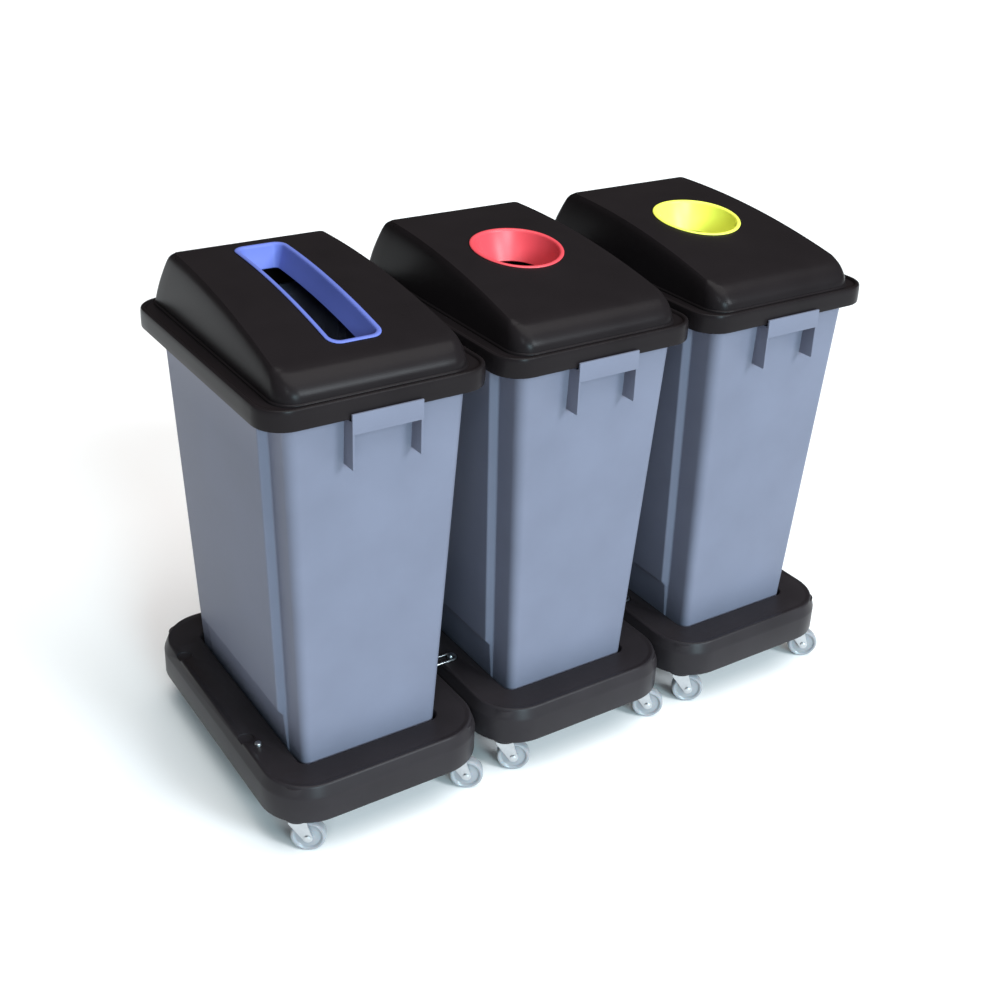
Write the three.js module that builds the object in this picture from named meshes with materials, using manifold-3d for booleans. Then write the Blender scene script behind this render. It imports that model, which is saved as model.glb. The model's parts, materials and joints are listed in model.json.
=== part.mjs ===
// Three-bin recycling station on linked wheeled dollies. Millimetres, +Z up, floor at z = 0.
// X runs along the row, -Y is the side with the visible handles, the origin is under the middle bin.
import * as THREE from "three";
import { mergeVertices } from "three/addons/utils/BufferGeometryUtils.js";
import Module from "manifold-3d";

const wasm = await Module();
wasm.setup();

// ---- driving dimensions -------------------------------------------------------------------
const PITCH = 336;          // bin to bin along the row
const GAP = 0.3;            // air between neighbouring pieces

const WHEEL_R = 25;         // corner radius of the faceted wheel
const WHEEL_SEGMENTS = 14;
const WHEEL_WIDTH = 17;
const AXLE_R = 3;
const AXLE_Z = WHEEL_R * Math.cos(Math.PI / WHEEL_SEGMENTS);
const CASTER_X = 127;       // swivel axis from the dolly centre
const CASTER_Y = 205;
const CASTER_TRAIL = 14;
const CASTER_HEADING = THREE.MathUtils.degToRad(-123);   // the wheels trail towards the front right
const STEM_R = 5.5;
const STEM_TOP = 92;
const FORK_TOP = 56;
const FORK_PLATE = 3;
const FORK_PLATE_R = 17;
const LEG_THICK = 2;

const DOLLY_HALF_X = 165;
const DOLLY_HALF_Y = 241.5;
const DOLLY_RADIUS = 72;
const DOLLY_BOTTOM = 61;
const DOLLY_BEVEL_Z = 101;
const DOLLY_RIM_Z = 117;
const DOLLY_RIM_INSET = 9;
const DECK_Z = 115.5;
const DECK_THICK = 4;
const POCKET_HALF_X = 108;
const POCKET_HALF_Y = 183;
const POCKET_RADIUS = 14;
const POCKET_FLOOR_Z = 92;
const BOSS_R = 20;
const BOSS_BOTTOM = FORK_TOP + GAP;

const LINK_X = 137;         // link post from the dolly centre
const LINK_YS = [-66, 136];
const RECESS_R = 12;
const SPARE_RECESSES = [[150, -92], [150, 136]];   // on a side with no neighbour
const SPARE_PIN = [141, -113];
const PIN_R = 4;
const RECESS_FLOOR_Z = 112.8;
const POST_R = 5;
const POST_TOP = 120;
const LINK_WIRE_R = 2.2;
const LINK_Z = RECESS_FLOOR_Z + GAP + LINK_WIRE_R;

const BODY_BOTTOM = POCKET_FLOOR_Z + GAP;
const BODY_NECK = 634;      // underside of the rim flange
const BODY_TOP = 654;
const WALL = 3;
const FOOT_HEIGHT = 86;     // height of the drawn-in foot of the side panels
const BODY_LOW = { column: 103, panel: 115, depth: 180, step: 132, radius: 12 };
const BODY_HIGH = { column: 128, panel: 141, depth: 203, step: 151, radius: 16 };
const RIM = { column: 152, panel: 152, depth: 211, step: 160, radius: 38 };
const HANDLE_HALF = 49.5;
const HANDLE_OUT = 225.5;   // front of the grip plate
const HANDLE_THICK = 3;
const HANDLE_TOP = 641;
const HANDLE_LOW = 614;
const GUSSET_LOW = 566;
const GUSSET_TOP = 630;

const SKIRT_HALF_X = 160.5;
const SKIRT_HALF_Y = 220.5;
const SKIRT_RADIUS = 42;
const SKIRT_BOTTOM = 633;
const SKIRT_TOP = 661;
const LEDGE_Z = 657.5;
const LID_WALL = 2.8;
// Dome plans: half width at the back, how much wider it is at the front, reach and front corner radius.
const DOME_FOOT = { half: 134, flare: 3, back: 213, front: 208, radius: 32 };
const DOME_SIDES = [        // share of the roof height, plan there
  [0.35, { half: 129, flare: 5.5, back: 205, front: 205, radius: 28 }],
  [0.68, { half: 123, flare: 9, back: 194, front: 196.5, radius: 24 }],
  [0.9, { half: 117.5, flare: 11, back: 184, front: 186, radius: 18 }],
];
const DOME_TOP = { half: 112, flare: 13, back: 172, front: 176, radius: 12 };
const ROOF_Z = 727;         // roof height over the lid centre
const ROOF_SLOPE = 0.122;   // fall towards the front at the lid centre
const ROOF_ARCH = 0.000358; // how fast the fall grows towards the front

const INSERT_FLANGE = 2.2;
const RING_R = 68;
const RING_Y = 3;           // where the round inserts sit along the roof
const RING_HOLE_R = 45;
const RING_DEPTH = 40;
const SLOT_HALF_X = 39;
const SLOT_HALF_Y = 150;
const SLOT_RADIUS = 18;
const SLOT_DEPTH = 30;

// ---- outlines: right half of a ring, from the back to the front -----------------------------
function corner(cx, cy, radius, from, segments) {
  const points = [];
  for (let i = 0; i <= segments; i += 1) {
    const angle = THREE.MathUtils.degToRad(from - (90 * i) / segments);
    points.push([cx + radius * Math.cos(angle), cy + radius * Math.sin(angle)]);
  }
  return points;
}

function roundedHalf(half, back, front, radius, segments = 3, sideCount = 0) {
  const points = corner(half - radius, back - radius, radius, 90, segments);
  for (let i = 1; i <= sideCount; i += 1) {
    const t = i / (sideCount + 1);
    points.push([half, (back - radius) * (1 - t) + (radius - front) * t]);
  }
  return points.concat(corner(half - radius, radius - front, radius, 0, segments));
}

// Bin plan: front and back corner columns, with a wider panel between two steps on each side.
function binHalf({ column, panel, depth, step, radius }, shrink = 0) {
  const w = column - shrink;
  const d = depth - shrink;
  const s = step - shrink;
  const r = radius - shrink;
  return [
    ...corner(w - r, d - r, r, 90, 3),
    [w, s + 2],
    [panel - shrink, s - 2],
    [panel - shrink, 2 - s],
    [w, -s - 2],
    ...corner(w - r, r - d, r, 0, 3),
  ];
}

function mixPlan(a, b, t) {
  const plan = {};
  for (const key of Object.keys(a)) plan[key] = a[key] + (b[key] - a[key]) * t;
  return plan;
}

// ---- closed surfaces from rings ---------------------------------------------------------------
function ring(half, height) {
  const z = typeof height === "function" ? height : () => height;
  const left = half.map(([x, y]) => [-x, y, z(y)]);
  const right = half.map(([x, y]) => [x, y, z(y)]).reverse();
  return left.concat(right);
}

function capTriangles(base, count, up) {
  const faces = [];
  for (let i = 0; i < count / 2 - 1; i += 1) {
    const [a, b, c, d] = [i, i + 1, count - 2 - i, count - 1 - i].map((k) => base + k);
    faces.push(up ? [a, b, c] : [a, c, b], up ? [a, c, d] : [a, d, c]);
  }
  return faces;
}

function skin(rings, looped = false) {
  const count = rings[0].length;
  const faces = [];
  const joins = looped ? rings.length : rings.length - 1;
  for (let k = 0; k < joins; k += 1) {
    const low = k * count;
    const high = ((k + 1) % rings.length) * count;
    for (let i = 0; i < count; i += 1) {
      const j = (i + 1) % count;
      faces.push([low + i, low + j, high + j], [low + i, high + j, high + i]);
    }
  }
  if (!looped) {
    faces.push(...capTriangles(0, count, false));
    faces.push(...capTriangles((rings.length - 1) * count, count, true));
  }
  const geometry = new THREE.BufferGeometry();
  geometry.setAttribute("position", new THREE.Float32BufferAttribute(rings.flat(2), 3));
  geometry.setIndex(faces.flat());
  return geometry;
}

// ---- solid arithmetic ---------------------------------------------------------------------------
function toSolid(geometry) {
  const bare = new THREE.BufferGeometry();
  bare.setAttribute("position", geometry.getAttribute("position"));
  if (geometry.index) bare.setIndex(geometry.index);
  const merged = mergeVertices(bare, 1e-4);
  const mesh = new wasm.Mesh({
    numProp: 3,
    vertProperties: new Float32Array(merged.getAttribute("position").array),
    triVerts: new Uint32Array(merged.index.array),
  });
  return new wasm.Manifold(mesh);
}

function toGeometry(solid) {
  const mesh = solid.getMesh();
  const geometry = new THREE.BufferGeometry();
  geometry.setAttribute("position", new THREE.BufferAttribute(mesh.vertProperties, 3));
  geometry.setIndex(new THREE.BufferAttribute(mesh.triVerts, 1));
  return geometry;
}

function boxSolid(x0, x1, y0, y1, z0, z1) {
  const box = new THREE.BoxGeometry(x1 - x0, y1 - y0, z1 - z0);
  box.translate((x0 + x1) / 2, (y0 + y1) / 2, (z0 + z1) / 2);
  return toSolid(box);
}

function postGeometry(radius, z0, z1, segments, x = 0, y = 0) {
  const post = new THREE.CylinderGeometry(radius, radius, z1 - z0, segments);
  post.rotateX(Math.PI / 2);
  post.translate(x, y, (z0 + z1) / 2);
  return post;
}

// ---- bin body -------------------------------------------------------------------------------------
function binPlan(z) {
  const t = (z - BODY_BOTTOM) / (BODY_NECK - BODY_BOTTOM);
  return mixPlan(BODY_LOW, BODY_HIGH, t);
}

function footPlan(z, pull) {
  const plan = binPlan(z);
  return { ...plan, panel: plan.panel - pull };
}

function handleSolid(sign) {
  const wallY = binPlan(HANDLE_LOW).depth - WALL / 2;
  const span = (near, far) => (sign < 0 ? [-far, -near] : [near, far]);
  const plateY = span(HANDLE_OUT - HANDLE_THICK, HANDLE_OUT);
  let handle = boxSolid(-HANDLE_HALF, HANDLE_HALF, ...plateY, HANDLE_LOW, HANDLE_TOP);
  const webY = span(wallY, HANDLE_OUT - 1);
  handle = handle.add(boxSolid(-HANDLE_HALF, HANDLE_HALF, ...webY, GUSSET_TOP - HANDLE_THICK, GUSSET_TOP));
  const profile = new THREE.Shape([
    new THREE.Vector2(wallY - 2.5, GUSSET_LOW),
    new THREE.Vector2(HANDLE_OUT - 2, GUSSET_LOW),
    new THREE.Vector2(HANDLE_OUT - 0.5, GUSSET_LOW + 1.5),
    new THREE.Vector2(HANDLE_OUT - 0.5, GUSSET_TOP),
    new THREE.Vector2(wallY, GUSSET_TOP),
  ]);
  const gusset = new THREE.ExtrudeGeometry(profile, { depth: HANDLE_THICK, bevelEnabled: false });
  gusset.rotateX(Math.PI / 2);
  gusset.rotateZ(Math.PI / 2);
  if (sign < 0) gusset.rotateZ(Math.PI);
  for (const side of [-1, 1]) {
    const plate = gusset.clone();
    const inner = side * (HANDLE_HALF - HANDLE_THICK / 2);
    plate.translate(inner - (sign * HANDLE_THICK) / 2, 0, 0);
    handle = handle.add(toSolid(plate));
  }
  return handle;
}

function binBody() {
  const foot = BODY_BOTTOM + FOOT_HEIGHT;
  const shell = skin([
    ring(binHalf(footPlan(BODY_BOTTOM, 12), 2), BODY_BOTTOM),
    ring(binHalf(footPlan(BODY_BOTTOM + 2, 11)), BODY_BOTTOM + 2),
    ring(binHalf(footPlan(foot - 10, 7)), foot - 10),
    ring(binHalf(binPlan(foot)), foot),
    ring(binHalf(BODY_HIGH), BODY_NECK),
    ring(binHalf(RIM), BODY_NECK + 3),
    ring(binHalf(RIM), BODY_TOP - 2),
    ring(binHalf(RIM, 2), BODY_TOP),
    ring(binHalf(RIM, WALL + 1), BODY_TOP),
    ring(binHalf(RIM, WALL + 2), BODY_NECK + 8),
    ring(binHalf(BODY_HIGH, WALL), BODY_NECK + 3),
    ring(binHalf(binPlan(foot), WALL), foot),
    ring(binHalf(footPlan(foot - 10, 7), WALL), foot - 10),
    ring(binHalf(footPlan(BODY_BOTTOM + WALL + 2, 11), WALL + 1), BODY_BOTTOM + WALL),
  ]);
  return toGeometry(toSolid(shell).add(handleSolid(-1)).add(handleSolid(1)));
}

// ---- lid ----------------------------------------------------------------------------------------------
function roofZ(y) {
  return ROOF_Z + ROOF_SLOPE * y - ROOF_ARCH * y ** 2;
}

// The dome's back corners are tighter than its front corners.
function domeHalf({ half, flare, back, front, radius }, shrink = 0) {
  const [w, b, f, r] = [half - shrink, back - shrink, front - shrink, radius - shrink / 2];
  const backCorner = roundedHalf(w, b, b, r * 0.5, 3).slice(0, 4);
  const frontCorner = roundedHalf(w, f, f, r, 3).slice(4);
  const side = [1, 2, 3, 4].map((i) => {
    const t = i / 5;
    return [w, (b - r * 0.5) * (1 - t) + (r - f) * t];
  });
  return [...backCorner, ...side, ...frontCorner].map(([x, y]) => [x + (flare * (b - y)) / (b + f), y]);
}

function skirtHalf(shrink) {
  return roundedHalf(SKIRT_HALF_X - shrink, SKIRT_HALF_Y - shrink, SKIRT_HALF_Y - shrink,
    SKIRT_RADIUS - shrink, 3, 4);
}

// Height part of the way from the ledge to the roof, so side walls follow the roof line.
function domeZ(share, drop = 0) {
  return (y) => LEDGE_Z + (roofZ(Math.max(y, -DOME_TOP.front)) - LEDGE_Z) * share - drop;
}

function lidShell() {
  const inner = DOME_SIDES.map(([share, plan]) => ring(domeHalf(plan, LID_WALL), domeZ(share, LID_WALL / 2)));
  const outer = DOME_SIDES.map(([share, plan]) => ring(domeHalf(plan), domeZ(share)));
  return skin([
    ring(domeHalf(DOME_TOP, LID_WALL), domeZ(1, LID_WALL)),
    ...inner.reverse(),
    ring(domeHalf(DOME_FOOT, LID_WALL), LEDGE_Z - LID_WALL),
    ring(skirtHalf(LID_WALL + 1), LEDGE_Z - LID_WALL),
    ring(skirtHalf(LID_WALL), SKIRT_BOTTOM),
    ring(skirtHalf(0.8), SKIRT_BOTTOM),
    ring(skirtHalf(0), SKIRT_BOTTOM + 3),
    ring(skirtHalf(0.4), SKIRT_TOP - 3),
    ring(skirtHalf(3), SKIRT_TOP),
    ring(skirtHalf(6), SKIRT_TOP),
    ring(skirtHalf(8), LEDGE_Z),
    ring(domeHalf(DOME_FOOT), LEDGE_Z),
    ring(domeHalf(DOME_FOOT, 1), LEDGE_Z + 4),
    ...outer,
    ring(domeHalf(DOME_TOP), domeZ(1)),
  ]);
}

function slotHalf(shrink) {
  return roundedHalf(SLOT_HALF_X - shrink, SLOT_HALF_Y - shrink, SLOT_HALF_Y - shrink,
    Math.max(SLOT_RADIUS - shrink, 6), 3, 4);
}

function ringHalf(shrink) {
  const radius = RING_R - shrink;
  return roundedHalf(radius, radius, radius, radius - 0.01, 5).map(([x, y]) => [x, y + RING_Y]);
}

// A ring that follows the curve of the roof, so much above it.
function roofRing(half, above) {
  return ring(half, (y) => roofZ(y) + above);
}

function lid(kind) {
  const hole = kind === "slot" ? slotHalf(5 - GAP) : ringHalf(5 - GAP);
  const plug = skin([roofRing(hole, -30), roofRing(hole, 20)]);
  return toGeometry(toSolid(lidShell()).subtract(toSolid(plug)));
}

// A funnel: flange on the roof, wall tapering down to the opening.
function funnel(outline, depth, taper) {
  return skin([
    roofRing(outline(5 + taper), -depth),
    roofRing(outline(5), -LID_WALL - 1),
    roofRing(outline(5), GAP),
    roofRing(outline(0), GAP),
    roofRing(outline(0.6), INSERT_FLANGE),
    roofRing(outline(5.5), INSERT_FLANGE),
    roofRing(outline(7.5), -3),
    roofRing(outline(7 + taper), -depth),
  ], true);
}

function slotInsert() {
  return funnel(slotHalf, SLOT_DEPTH, 9);
}

function roundInsert() {
  return funnel(ringHalf, RING_DEPTH, RING_R - 7 - RING_HOLE_R);
}

// ---- dolly -----------------------------------------------------------------------------------------------
function dollyHalf(shrink) {
  return roundedHalf(DOLLY_HALF_X - shrink, DOLLY_HALF_Y - shrink, DOLLY_HALF_Y - shrink,
    DOLLY_RADIUS - shrink, 4);
}

function pocketHalf(grow) {
  return roundedHalf(POCKET_HALF_X + grow, POCKET_HALF_Y + grow, POCKET_HALF_Y + grow,
    POCKET_RADIUS + grow, 4);
}

function dollyShell() {
  const under = DECK_Z - DECK_THICK;
  return skin([
    ring(pocketHalf(0), POCKET_FLOOR_Z - DECK_THICK),
    ring(pocketHalf(DECK_THICK - 1), POCKET_FLOOR_Z - DECK_THICK + 3),
    ring(pocketHalf(DECK_THICK), under),
    ring(dollyHalf(DOLLY_RIM_INSET + 6), under),
    ring(dollyHalf(4), DOLLY_BEVEL_Z - 4),
    ring(dollyHalf(4), DOLLY_BOTTOM),
    ring(dollyHalf(1), DOLLY_BOTTOM),
    ring(dollyHalf(0), DOLLY_BOTTOM + 2),
    ring(dollyHalf(0), DOLLY_BEVEL_Z),
    ring(dollyHalf(3), DOLLY_RIM_Z - 5),
    ring(dollyHalf(DOLLY_RIM_INSET - 2), DOLLY_RIM_Z),
    ring(dollyHalf(DOLLY_RIM_INSET + 1), DOLLY_RIM_Z),
    ring(dollyHalf(DOLLY_RIM_INSET + 5), DECK_Z),
    ring(pocketHalf(2), DECK_Z),
    ring(pocketHalf(0), DECK_Z - 3),
    ring(pocketHalf(-2), POCKET_FLOOR_Z),
  ]);
}

function eachSign(visit) {
  for (const sx of [-1, 1]) {
    for (const sy of [-1, 1]) visit(sx, sy);
  }
}

function sinkRecess(solid, x, y) {
  return solid.subtract(toSolid(postGeometry(RECESS_R, RECESS_FLOOR_Z, DECK_Z + 20, 10, x, y)));
}

// Recesses open towards the neighbouring dolly, with a post for the link in each.
function addLinkPosts(solid, sx) {
  let posted = solid;
  for (const y of LINK_YS) {
    const x = sx * LINK_X;
    const notch = sx < 0 ? [-200, x] : [x, 200];
    posted = sinkRecess(posted, x, y);
    posted = posted.subtract(boxSolid(...notch, y - RECESS_R, y + RECESS_R, RECESS_FLOOR_Z, DECK_Z + 20));
    posted = posted.add(toSolid(postGeometry(POST_R, RECESS_FLOOR_Z - 1, POST_TOP, 8, x, y)));
  }
  return posted;
}

function addSpareRecesses(solid, sx) {
  let sunk = solid;
  for (const [x, y] of SPARE_RECESSES) sunk = sinkRecess(sunk, sx * x, y);
  const [x, y] = SPARE_PIN;
  return sunk.add(toSolid(postGeometry(PIN_R, DECK_Z - 1, POST_TOP, 8, sx * x, y)));
}

function dolly(linked) {
  let solid = toSolid(dollyShell());
  eachSign((sx, sy) => {
    const [x, y] = [sx * CASTER_X, sy * CASTER_Y];
    solid = solid.add(toSolid(postGeometry(BOSS_R, BOSS_BOTTOM, DECK_Z - 1, 10, x, y)));
  });
  eachSign((sx, sy) => {
    const [x, y] = [sx * CASTER_X, sy * CASTER_Y];
    const socket = postGeometry(STEM_R + 0.5, BOSS_BOTTOM - 5, STEM_TOP + GAP, 8, x, y);
    solid = solid.subtract(toSolid(socket));
  });
  for (const sx of [-1, 1]) {
    solid = linked.includes(sx) ? addLinkPosts(solid, sx) : addSpareRecesses(solid, sx);
  }
  return toGeometry(solid);
}

// ---- link: a closed wire loop dropped over the posts of two neighbouring dollies -----------------
function link() {
  const reach = PITCH / 2 - LINK_X;
  const bend = POST_R + GAP + 1 + LINK_WIRE_R;
  const stations = [];
  for (const side of [1, -1]) {
    for (let i = 0; i <= 4; i += 1) {
      const angle = THREE.MathUtils.degToRad(-90 + 45 * i) + (side < 0 ? Math.PI : 0);
      stations.push({ x: side * reach, angle });
    }
  }
  const rings = stations.map(({ x, angle }) => {
    const section = [];
    for (let k = 0; k < 6; k += 1) {
      const turn = THREE.MathUtils.degToRad(60 * k);
      const radius = bend + LINK_WIRE_R * Math.cos(turn);
      section.push([x + radius * Math.cos(angle), radius * Math.sin(angle), -LINK_WIRE_R * Math.sin(turn)]);
    }
    return section;
  });
  return skin(rings, true);
}

// ---- caster ---------------------------------------------------------------------------------------------
function wheel() {
  const half = WHEEL_WIDTH / 2;
  const bore = AXLE_R + GAP;
  const profile = [
    [bore, -half], [9, -half], [18, -half + 2.5], [WHEEL_R, -half + 1.5],
    [WHEEL_R, half - 1.5], [18, half - 2.5], [9, half], [bore, half],
  ].map(([x, y]) => new THREE.Vector2(x, y));
  profile.push(profile[0].clone());
  const geometry = new THREE.LatheGeometry(profile, WHEEL_SEGMENTS);
  geometry.rotateZ(Math.PI / 2);
  geometry.rotateX(Math.PI / WHEEL_SEGMENTS);
  return geometry;
}

function axle() {
  const out = WHEEL_WIDTH / 2 + 1 + LEG_THICK;
  const profile = [
    [0, -out - 2], [5, -out - 1.5], [5, -out - GAP], [AXLE_R - 0.4, -out - GAP],
    [AXLE_R - 0.4, out + GAP], [5, out + GAP], [5, out + 1.5], [0, out + 2],
  ].map(([x, y]) => new THREE.Vector2(x, y));
  const geometry = new THREE.LatheGeometry(profile, 8);
  geometry.rotateZ(Math.PI / 2);
  return geometry;
}

// The fork stands on its swivel axis; the wheel trails along +Y of the fork.
function fork() {
  let solid = toSolid(postGeometry(FORK_PLATE_R, FORK_TOP - FORK_PLATE, FORK_TOP, 10));
  solid = solid.add(toSolid(postGeometry(STEM_R, FORK_TOP - 1, STEM_TOP, 8)));
  const outline = new THREE.Shape([
    new THREE.Vector2(-12, FORK_TOP - 1),
    new THREE.Vector2(-12, FORK_TOP - 7),
    new THREE.Vector2(CASTER_TRAIL - 7, AXLE_Z - 2),
    new THREE.Vector2(CASTER_TRAIL - 4, AXLE_Z - 7),
    new THREE.Vector2(CASTER_TRAIL + 4, AXLE_Z - 7),
    new THREE.Vector2(CASTER_TRAIL + 7, AXLE_Z),
    new THREE.Vector2(12, FORK_TOP - 1),
  ]);
  const leg = new THREE.ExtrudeGeometry(outline, { depth: LEG_THICK, bevelEnabled: false });
  leg.rotateX(Math.PI / 2);
  leg.rotateZ(Math.PI / 2);
  for (const side of [-1, 1]) {
    const plate = leg.clone();
    const inner = WHEEL_WIDTH / 2 + 1;
    plate.translate(side < 0 ? -inner - LEG_THICK : inner, 0, 0);
    solid = solid.add(toSolid(plate));
  }
  const bore = new THREE.CylinderGeometry(AXLE_R, AXLE_R, 60, 8);
  bore.rotateZ(Math.PI / 2);
  bore.translate(0, CASTER_TRAIL, AXLE_Z);
  return toGeometry(solid.subtract(toSolid(bore)));
}

// ---- assembly -------------------------------------------------------------------------------------------
const BLUE_GREY = { color: 0x8294b0, roughness: 0.45, metalness: 0 };
const BLACK = { color: 0x1d1b1f, roughness: 0.5, metalness: 0 };
const DOLLY_BLACK = { color: 0x242127, roughness: 0.55, metalness: 0 };
const BLUE = { color: 0x4c60a8, roughness: 0.4, metalness: 0 };
const RED = { color: 0xd23a48, roughness: 0.4, metalness: 0 };
const YELLOW = { color: 0xd6e04a, roughness: 0.4, metalness: 0 };
const ZINC = { color: 0xc9ccd1, roughness: 0.3, metalness: 1 };
const NYLON = { color: 0xc4ccd0, roughness: 0.35, metalness: 0 };

function piece(name, geometry, finish) {
  geometry.computeVertexNormals();
  const mesh = new THREE.Mesh(geometry, new THREE.MeshStandardMaterial(finish));
  mesh.name = name;
  return mesh;
}

const station = new THREE.Group();
station.name = "recycling_station";

const BINS = [
  { key: "left", x: -PITCH, kind: "slot", finish: BLUE, linked: [1] },
  { key: "middle", x: 0, kind: "round", finish: RED, linked: [-1, 1] },
  { key: "right", x: PITCH, kind: "round", finish: YELLOW, linked: [-1] },
];

function addCaster(parent, name, sx, sy) {
  const caster = new THREE.Group();
  caster.position.set(sx * CASTER_X, sy * CASTER_Y, 0);
  caster.rotation.z = CASTER_HEADING;
  const wheelMesh = piece(`${name}_wheel`, wheel(), NYLON);
  const axleMesh = piece(`${name}_axle`, axle(), ZINC);
  wheelMesh.position.set(0, CASTER_TRAIL, AXLE_Z);
  axleMesh.position.set(0, CASTER_TRAIL, AXLE_Z);
  caster.add(piece(`${name}_fork`, fork(), ZINC), wheelMesh, axleMesh);
  parent.add(caster);
}

for (const { key, x, kind, finish, linked } of BINS) {
  const unit = new THREE.Group();
  unit.position.x = x;
  const insert = kind === "slot" ? slotInsert() : roundInsert();
  unit.add(piece(`bin_${key}_body`, binBody(), BLUE_GREY));
  unit.add(piece(`bin_${key}_lid`, lid(kind), BLACK));
  unit.add(piece(`bin_${key}_insert`, insert, finish));
  unit.add(piece(`dolly_${key}`, dolly(linked), DOLLY_BLACK));
  eachSign((sx, sy) => {
    const name = `caster_${key}_${sy < 0 ? "front" : "back"}_${sx < 0 ? "left" : "right"}`;
    addCaster(unit, name, sx, sy);
  });
  station.add(unit);
}

for (const [place, x] of [["left", -PITCH / 2], ["right", PITCH / 2]]) {
  for (const y of LINK_YS) {
    const mesh = piece(`link_${place}_${y < 0 ? "front" : "back"}`, link(), ZINC);
    mesh.position.set(x, y, LINK_Z);
    station.add(mesh);
  }
}

export default station;
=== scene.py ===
"""Looks for the three-bin recycling station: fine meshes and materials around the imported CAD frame."""
import json
import math

import bmesh
import bpy
from mathutils import Matrix, Vector

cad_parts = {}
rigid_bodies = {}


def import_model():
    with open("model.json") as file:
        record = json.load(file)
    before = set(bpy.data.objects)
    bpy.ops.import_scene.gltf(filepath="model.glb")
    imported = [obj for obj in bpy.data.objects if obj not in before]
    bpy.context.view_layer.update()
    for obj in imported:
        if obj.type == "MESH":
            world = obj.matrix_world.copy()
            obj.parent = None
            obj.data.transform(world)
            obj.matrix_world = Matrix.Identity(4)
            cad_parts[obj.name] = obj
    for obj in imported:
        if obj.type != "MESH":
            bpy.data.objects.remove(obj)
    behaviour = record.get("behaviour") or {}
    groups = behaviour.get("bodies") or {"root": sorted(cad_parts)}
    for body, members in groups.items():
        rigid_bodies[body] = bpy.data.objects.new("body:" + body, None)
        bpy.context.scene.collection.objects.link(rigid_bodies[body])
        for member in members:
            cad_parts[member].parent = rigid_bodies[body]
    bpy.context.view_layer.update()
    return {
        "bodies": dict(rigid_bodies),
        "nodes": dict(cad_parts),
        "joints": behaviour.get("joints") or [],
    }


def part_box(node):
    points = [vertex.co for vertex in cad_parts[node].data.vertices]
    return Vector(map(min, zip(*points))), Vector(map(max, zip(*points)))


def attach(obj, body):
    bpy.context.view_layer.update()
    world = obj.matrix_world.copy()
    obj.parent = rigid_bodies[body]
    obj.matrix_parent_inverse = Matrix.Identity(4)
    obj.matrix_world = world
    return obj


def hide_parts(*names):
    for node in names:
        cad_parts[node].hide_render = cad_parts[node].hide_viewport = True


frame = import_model()

MM = 0.001

# ---- camera, fitted to the photograph's view -----------------------------------------------------
CAMERA_AZIMUTH = -32.86
CAMERA_ELEVATION = 25.15
CAMERA_ROLL = 1.745
CAMERA_PLACE = (-1.0703, -1.5296, 1.3191)
CAMERA_LENS = 49.05
CAMERA_SHIFT = (0.0361, -0.0731)

# ---- bin dimensions, millimetres from the bin's own axis -----------------------------------------
BODY_LOW = {"column": 103, "panel": 115, "depth": 180, "step": 132, "radius": 12}
BODY_HIGH = {"column": 128, "panel": 141, "depth": 203, "step": 151, "radius": 16}
RIM = {"column": 152, "panel": 152, "depth": 211, "step": 160, "radius": 38}
NECK_BELOW_TOP = 20
FOOT_HEIGHT = 86
WALL = 3
STEP_FILLET = 3.2
STEP_SLANT = 1.5            # half the length over which a side panel steps out

HANDLE_HALF = 49.5
HANDLE_OUT = 225.5
HANDLE_THICK = 3
HANDLE_TOP = 641
HANDLE_LOW = 614
GUSSET_LOW = 566
GUSSET_TOP = 630
GUSSET_INSET = 0.8
GRIP_SHARE = 0.96           # share of the body's height at which the wall behind the grip is measured
GRIP_SINK = 1.5             # how far the web runs into that wall
GUSSET_SINK = 2.5           # how much further the gussets run in

SKIRT = (160.5, 220.5, 42)
SKIRT_BOTTOM = 633
SKIRT_TOP = 661
LEDGE_Z = 657.5
LID_WALL = 2.8
DOME = [                    # share of the roof height, plan there: flare is extra half width at the front
    (0.0, {"half": 134, "flare": 3, "back": 213, "front": 208, "radius": 32}),
    (0.35, {"half": 129, "flare": 5.5, "back": 205, "front": 205, "radius": 28}),
    (0.68, {"half": 123, "flare": 9, "back": 194, "front": 196.5, "radius": 24}),
    (0.9, {"half": 117.5, "flare": 11, "back": 184, "front": 186, "radius": 18}),
    (1.0, {"half": 112, "flare": 13, "back": 172, "front": 176, "radius": 12}),
]
ROOF_Z = 727
ROOF_SLOPE = 0.122
ROOF_ARCH = 0.000358
ROOF_MIDDLE = {"half": 8, "flare": 0, "back": 77, "front": 76, "radius": 4}
DOME_FOOT = (               # inset from the dome's foot, height above the ledge
    (-1.2, 0.0), (-1.2, 1.8), (-0.6, 2.8), (0.6, 3.6), (1.8, 4.4),
)
ROOF_SHARES = (0.06, 0.5, 1.0)
SIDE_CUTS = 14

RING_Y = 3
RING_R = 68
RING_HOLE_R = 45
RING_DEPTH = 40
SLOT_HALF = (39, 150, 18)
SLOT_DEPTH = 30
SLOT_TAPER = 9
FUNNEL_LIP = 7
PLUG_INSET = 4.6
PLUG_SPAN = (-30, 20)

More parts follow.
